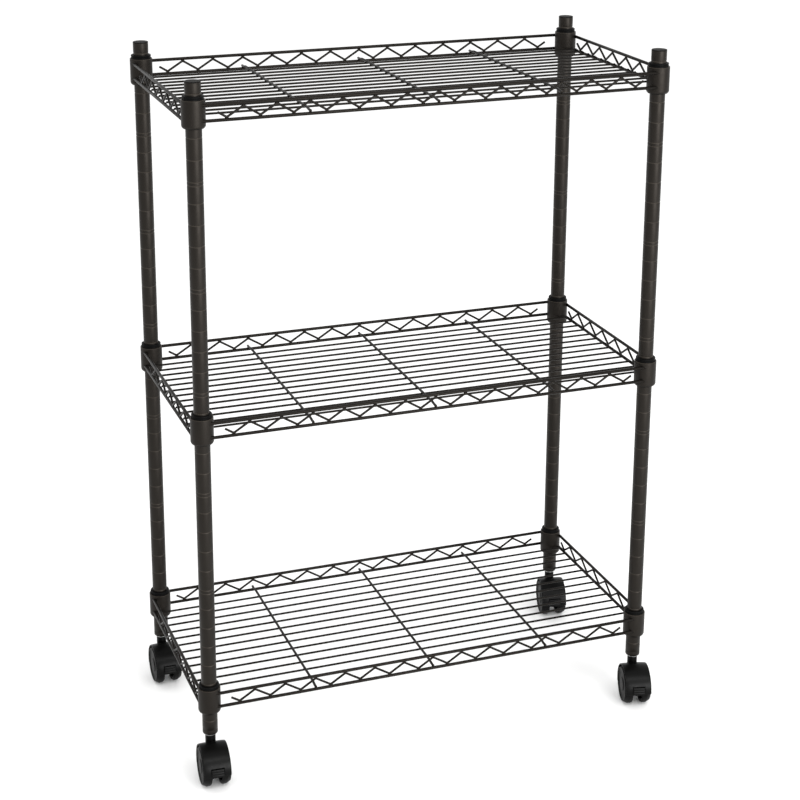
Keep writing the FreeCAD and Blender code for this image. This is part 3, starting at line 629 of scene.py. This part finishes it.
def eased(points, bend, steps=4):
    """Straight runs joined by arcs of one radius, as points."""
    path = [points[0]]
    for before, point, after in zip(points, points[1:], points[2:]):
        arriving = (point - before).normalized()
        leaving = (after - point).normalized()
        half = arriving.angle(leaving) / 2
        inward = (leaving - arriving).normalized()
        centre = point + inward * bend / math.cos(half)
        axis = arriving.cross(leaving).normalized()
        start = point - arriving * bend * math.tan(half) - centre
        for step in range(steps + 1):
            path.append(centre + Matrix.Rotation(2 * half * step / steps, 3, axis) @ start)
    path.append(points[-1])
    return path


def make_cross_wires(shelf):
    """Three wires over the deck whose ends dip to the long lower rims."""
    foot = SHELF_FOOT[shelf]
    end_level = foot + LONG_LOWER + RIM_RADIUS + CROSS_RADIUS
    deck_level = foot + DECK_HEIGHT + DECK_RADIUS + CROSS_RADIUS
    foot_end = RIM_Y - CROSS_FOOT
    ramp_end = RIM_Y - (CROSS_FOOT + CROSS_RAMP)
    route = [(-RIM_Y - CROSS_FRONT, end_level), (-foot_end, end_level), (-ramp_end, deck_level),
             (ramp_end, deck_level), (foot_end, end_level), (RIM_Y + CROSS_BACK, end_level)]
    bm = bmesh.new()
    for x in cross_lines():
        path = eased([Vector((x, MIDDLE_Y + y, z)) for y, z in route], CROSS_BEND)
        add_tube(bm, path, CROSS_RADIUS, 20)
        for y in deck_lines():
            add_bead(bm, Vector((x, y, deck_level - CROSS_RADIUS)), mm(1.7, 1.5, 0.6))
        for sign in (-1, 1):
            add_bead(bm, long_spot(sign, x, end_level - CROSS_RADIUS), mm(1.9, 1.9, 0.7))
    piece(shelf + "_cross_bars", bm, WIRE, "rack", [shelf + "_cross_wires"])


# ---------------------------------------------------------------- casters
def caster_place(corner):
    """The caster's own frame at rest: its swivel axis at the origin, its axle along X."""
    axis = JOINTS["roll_left_" + corner]["axis"]
    turn = math.atan2(axis[1], axis[0])
    return upright(corner) @ Matrix.Rotation(turn, 4, "Z")


def axle_point(corner):
    """The axle's middle in the caster's own frame."""
    place = caster_place(corner).inverted()
    return place @ Vector(JOINTS["roll_left_" + corner]["pos_m"])


def hood_point(axle, across, angle, radius):
    """A point about the axle: angle 0 is the front and a quarter turn is the top."""
    return axle + Vector((across, -radius * math.cos(angle), radius * math.sin(angle)))


def spread(low, high, step):
    """Even stations from low to high, no further apart than step."""
    count = max(1, math.ceil((high - low) / step - 1e-9))
    return [low + (high - low) * index / count for index in range(count + 1)]


def crowned(across):
    """The hood's outer radius: it eases down towards its open sides."""
    return HOOD_RADIUS - mm(0.7) * abs(across / HOOD_HALF) ** 5


def make_hood(corner):
    """The hood band over both wheels, with the brake's window, the web between them and the neck."""
    place = caster_place(corner)
    axle = axle_point(corner)
    body = "caster_" + corner
    bm = bmesh.new()
    width = spread(-HOOD_HALF, -WINDOW_HALF, mm(1.3))[:-1] + spread(-WINDOW_HALF, WINDOW_HALF, mm(2.5))
    width += spread(WINDOW_HALF, HOOD_HALF, mm(1.3))[1:]
    turns = spread(HOOD_FRONT, WINDOW_TOP, math.radians(3))[:-1]
    turns += spread(WINDOW_TOP, HOOD_BACK, math.radians(3))
    grid = [[bm.verts.new(place @ hood_point(axle, u, t, crowned(u))) for u in width] for t in turns]
    for row, turn in enumerate(turns[:-1]):
        for column, across in enumerate(width[:-1]):
            middle = (across + width[column + 1]) / 2
            if turn < WINDOW_TOP - 1e-6 and abs(middle) < WINDOW_HALF:
                continue
            bm.faces.new((grid[row][column], grid[row][column + 1],
                          grid[row + 1][column + 1], grid[row + 1][column]))
    for vert in [v for v in bm.verts if not v.link_faces]:
        bm.verts.remove(vert)
    band = piece("hood_band_" + corner, bm, CASTER, body, ["caster_hood_" + corner])
    wall = band.modifiers.new("wall", "SOLIDIFY")
    wall.thickness = HOOD_WALL
    wall.offset = -1.0
    wall.use_even_offset = True
    bevelled(band, mm(0.45))

    bm = bmesh.new()
    edge = HOOD_RADIUS - HOOD_WALL / 2
    step = math.radians(4)
    outline = [hood_point(axle, 0, t, edge) for t in spread(WINDOW_TOP, HOOD_BACK, step)]
    outline += [hood_point(axle, 0, t, WEB_HUB) for t in spread(HOOD_BACK, math.tau + HOOD_FRONT, step)]
    outline += [hood_point(axle, 0, t, WINDOW_FLOOR) for t in spread(HOOD_FRONT, WINDOW_TOP, step)]
    rings = [[place @ (point + Vector((side * WEB_HALF, 0, 0))) for point in outline] for side in (-1, 1)]
    add_loft(bm, rings)
    add_neck(bm, place)
    bevelled(piece("hood_web_" + corner, bm, CASTER, body), mm(0.4))


def add_neck(bm, place):
    """The hood's neck round the swivel pin, with a small shoulder ring at its top."""
    outline = rounded([
        (STEM_RADIUS + mm(0.05), NECK_FOOT - mm(8.0), 0.0),
        (NECK_RADIUS, NECK_FOOT - mm(8.0), 0.0),
        (NECK_RADIUS, NECK_TOP, mm(0.5)),
        (STEM_RADIUS + mm(0.05), NECK_TOP, mm(0.2)),
    ], 3)
    add_lathe(bm, outline, place, 48)


def make_brake_tab(corner):
    """The foot tab in the hood's window: three grip ribs outside, a tongue and trunnions inside."""
    place = caster_place(corner)
    axle = axle_point(corner)
    bm = bmesh.new()
    turns = spread(TAB_FOOT, TAB_TOP, math.radians(1.0))
    ribs = [math.radians(angle) for angle in (13.0, 7.0, 1.0)]
    rib_half = math.radians(1.6)
    rings = []
    across = [-TAB_HALF, -TAB_HALF + mm(1.3), TAB_HALF - mm(1.3), TAB_HALF]
    for turn in turns:
        rise = 0.0
        for rib in ribs:
            share = max(0.0, 1 - abs(turn - rib) / rib_half)
            rise = max(rise, mm(0.55) * share * (2 - share))
        outer = [TAB_OUTER, TAB_OUTER + rise, TAB_OUTER + rise, TAB_OUTER]
        ring = [hood_point(axle, u, turn, r) for u, r in zip(across, outer)]
        ring += [hood_point(axle, u, turn, TAB_INNER) for u in reversed(across)]
        rings.append([place @ point for point in ring])
    add_loft(bm, rings)
    pivot = place.inverted() @ Vector(JOINTS["brake_press_" + corner]["pos_m"])
    half = mm(2.5)
    tongue = rounded([
        (axle.y - TAB_INNER - mm(0.2), pivot.z - mm(2.0), 0.0),
        (pivot.y, pivot.z - mm(2.0), 0.0),
        (pivot.y, pivot.z + mm(2.0), 0.0),
        (axle.y - TAB_INNER - mm(0.2), pivot.z + mm(2.0), 0.0),
    ])
    rings = [[place @ Vector((side * half, y, z)) for y, z in tongue] for side in (-1, 1)]
    add_loft(bm, rings)
    lying = place @ Matrix.Translation(pivot) @ Matrix.Rotation(math.pi / 2, 4, "Y")
    boss = mm(3.0)
    trunnion = mm(1.5)
    reach = WEB_HALF - mm(0.2)
    outline = rounded([(0.0, -reach, 0.0), (trunnion, -reach, mm(0.3)), (trunnion, -half, 0.0),
                       (boss, -half, mm(0.3)), (boss, half, mm(0.3)), (trunnion, half, 0.0),
                       (trunnion, reach, mm(0.3)), (0.0, reach, 0.0)], 2)
    add_lathe(bm, outline, lying, 32)
    tab = piece("brake_pedal_" + corner, bm, CASTER, "brake_" + corner,
                ["brake_tab_" + corner])
    bevelled(tab, mm(0.3), 50.0, 2)


def wheel_outline():
    """Section of a wheel from the axle outwards; 0 is its inner face."""
    width = WHEEL_WIDTH
    tread = WHEEL_RADIUS
    bore = mm(3.05)
    seat = mm(9.5)
    return rounded([
        (bore, 0.0, mm(0.2)),
        (mm(7.0), 0.0, mm(0.4)),
        (mm(7.2), width - mm(3.4), mm(0.8)),
        (tread - mm(4.3), width - mm(3.4), mm(0.8)),
        (tread - mm(4.1), mm(0.3), mm(0.3)),
        (tread - mm(0.9), mm(0.3), mm(0.9)),
        (tread, mm(2.2), mm(2.2)),
        (tread, width - mm(5.0), mm(3.0)),
        (tread - mm(1.7), width - mm(1.8), mm(2.0)),
        (tread - mm(2.9), width, mm(0.6)),
        (tread - mm(3.8), width, mm(0.3)),
        (tread - mm(4.6), width - mm(0.9), mm(0.6)),
        (tread - mm(9.0), width - mm(1.7), mm(6.0)),
        (mm(9.4), width - mm(1.1), mm(0.5)),
        (mm(8.8), width - mm(0.3), mm(0.4)),
        (mm(5.0), width, mm(3.0)),
        (0.0, width, 0.0),
        (0.0, seat, 0.0),
        (bore, seat, 0.0),
    ], 4)


def make_wheel(corner, side):
    """A twin wheel: crowned tread, raised rim ring, dished face with hub, ribs inside."""
    sign = -1 if side == "left" else 1
    place = caster_place(corner) @ Matrix.Translation(axle_point(corner))
    start = place @ Matrix.Translation((sign * (WEB_HALF + WHEEL_GAP), 0, 0))
    facing = start @ Matrix.Rotation(sign * math.pi / 2, 4, "Y")
    bm = bmesh.new()
    add_lathe(bm, wheel_outline(), facing, 96)
    for index in range(WHEEL_RIBS):
        turn = facing @ Matrix.Rotation(math.tau * index / WHEEL_RIBS, 4, "Z")
        low = mm(1.2)
        high = WHEEL_WIDTH - mm(3.0)
        rib = rounded([(mm(6.5), low, mm(0.3)), (WHEEL_RADIUS - mm(4.0), low, mm(0.3)),
                       (WHEEL_RADIUS - mm(4.0), high, 0.0), (mm(6.5), high, 0.0)], 2)
        half = mm(0.6)
        rings = [[turn @ Vector((r, y, h)) for r, h in rib] for y in (-half, half)]
        add_loft(bm, rings)
    piece("twin_wheel_%s_%s" % (corner, side), bm, WHEEL, "%s_wheel_%s" % (side, corner),
          ["wheel_%s_%s" % (corner, side)], 30.0)


def make_axles():
    """The pressed-in axles, chamfered at both ends."""
    half = WEB_HALF + WHEEL_GAP + AXLE_SEAT
    outline = rounded([(0.0, -half, 0.0), (AXLE_RADIUS, -half, mm(0.6)), (AXLE_RADIUS, half, mm(0.6)),
                       (0.0, half, 0.0)], 3)
    for corner in CORNERS:
        lying = caster_place(corner) @ Matrix.Translation(axle_point(corner))
        bm = bmesh.new()
        add_lathe(bm, outline, lying @ Matrix.Rotation(math.pi / 2, 4, "Y"), 40)
        piece("wheel_axle_" + corner, bm, ZINC, "caster_" + corner, ["axle_" + corner])


def make_stems():
    """Swivel pins with a threaded end in each post, and the washers they clamp."""
    corners = [(0.0, STEM_FOOT, 0.0), (STEM_RADIUS, STEM_FOOT, mm(0.5)), (STEM_RADIUS, WASHER_FOOT, 0.0)]
    level = WASHER_FOOT
    while level < THREAD_TOP - THREAD_PITCH:
        corners.append((THREAD_RADIUS - mm(0.15), level, mm(0.1)))
        corners.append((THREAD_RADIUS - mm(0.9), level + THREAD_PITCH / 2, mm(0.1)))
        level += THREAD_PITCH
    corners += [(THREAD_RADIUS - mm(1.0), THREAD_TOP, 0.0), (0.0, THREAD_TOP, 0.0)]
    bm = bmesh.new()
    for corner in CORNERS:
        add_lathe(bm, rounded(corners, 2), upright(corner), 40)
    piece("swivel_stems", bm, ZINC, "rack", ["caster_stems"])

    outline = rounded([(THREAD_RADIUS, WASHER_FOOT, 0.0), (WASHER_RADIUS, WASHER_FOOT, mm(0.3)),
                       (WASHER_RADIUS, INSERT_FOOT, mm(0.3)), (THREAD_RADIUS, INSERT_FOOT, 0.0)], 3)
    bm = bmesh.new()
    for corner in CORNERS:
        add_lathe(bm, outline, upright(corner), 64)
    piece("zinc_washers", bm, ZINC, "rack", ["stem_washers"])


# ---------------------------------------------------------------- stage
def make_floor():
    """A wide pale floor under the casters."""
    half_size = 30.0
    bm = bmesh.new()
    bmesh.ops.create_grid(bm, x_segments=24, y_segments=24, size=half_size)
    mesh = bpy.data.meshes.new("studio_floor")
    bm.to_mesh(mesh)
    bm.free()
    mesh.materials.append(pale_floor("studio_floor"))
    floor = bpy.data.objects.new("studio_floor", mesh)
    bpy.context.scene.collection.objects.link(floor)


def direction(azimuth, elevation):
    """From the object towards a viewer; azimuth 0 is in front, positive to the right."""
    a, e = math.radians(azimuth), math.radians(elevation)
    return Vector((math.sin(a) * math.cos(e), -math.cos(a) * math.cos(e), math.sin(e)))


def softbox(name, azimuth, elevation, distance, size, power):
    """A rectangular area light aimed at the middle of the rack."""
    target = Vector((0, 0, 0.45))
    lamp = bpy.data.lights.new(name, "AREA")
    lamp.shape = "RECTANGLE"
    lamp.size, lamp.size_y = size
    lamp.energy = power
    made = bpy.data.objects.new(name, lamp)
    made.location = target + direction(azimuth, elevation) * distance
    made.rotation_mode = "QUATERNION"
    made.rotation_quaternion = direction(azimuth, elevation).to_track_quat("Z", "Y")
    bpy.context.scene.collection.objects.link(made)


def make_lights():
    """A white surround, a wide low softbox right of the camera and a long one high in front."""
    world = bpy.data.worlds.new("studio")
    world.use_nodes = True
    world.node_tree.nodes["Background"].inputs["Color"].default_value = (1.0, 1.0, 1.0, 1.0)
    world.node_tree.nodes["Background"].inputs["Strength"].default_value = 1.2
    bpy.context.scene.world = world
    softbox("key_softbox", azimuth=15.0, elevation=7.0, distance=4.0, size=(2.6, 1.8), power=140.0)
    softbox("high_softbox", azimuth=0.0, elevation=46.0, distance=3.2, size=(3.4, 0.9), power=50.0)


def make_camera():
    """Set well back at the front left, looking down on the shelves."""
    lens = bpy.data.cameras.new("camera")
    lens.sensor_width = 36.0
    lens.lens = 81.9
    lens.shift_x = 0.0378
    lens.shift_y = -0.2041
    camera = bpy.data.objects.new("camera", lens)
    camera.location = (-0.7718, -2.0642, 1.2800)
    camera.rotation_mode = "QUATERNION"
    camera.rotation_quaternion = direction(-19.49, 16.20).to_track_quat("Z", "Y")
    bpy.context.scene.collection.objects.link(camera)
    bpy.context.scene.camera = camera


# ---------------------------------------------------------------- build
make_posts()
make_caps()
make_inserts()
for shelf_name in SHELVES:
    make_collars(shelf_name)
    make_sleeves(shelf_name)
    make_rims(shelf_name)
    make_trusses(shelf_name)
    make_deck(shelf_name)
    make_cross_wires(shelf_name)
for corner_name in CORNERS:
    make_hood(corner_name)
    make_brake_tab(corner_name)
    for side_name in SIDES:
        make_wheel(corner_name, side_name)
make_axles()
make_stems()
make_floor()
make_lights()
make_camera()
bpy.context.scene.view_settings.view_transform = "Standard"
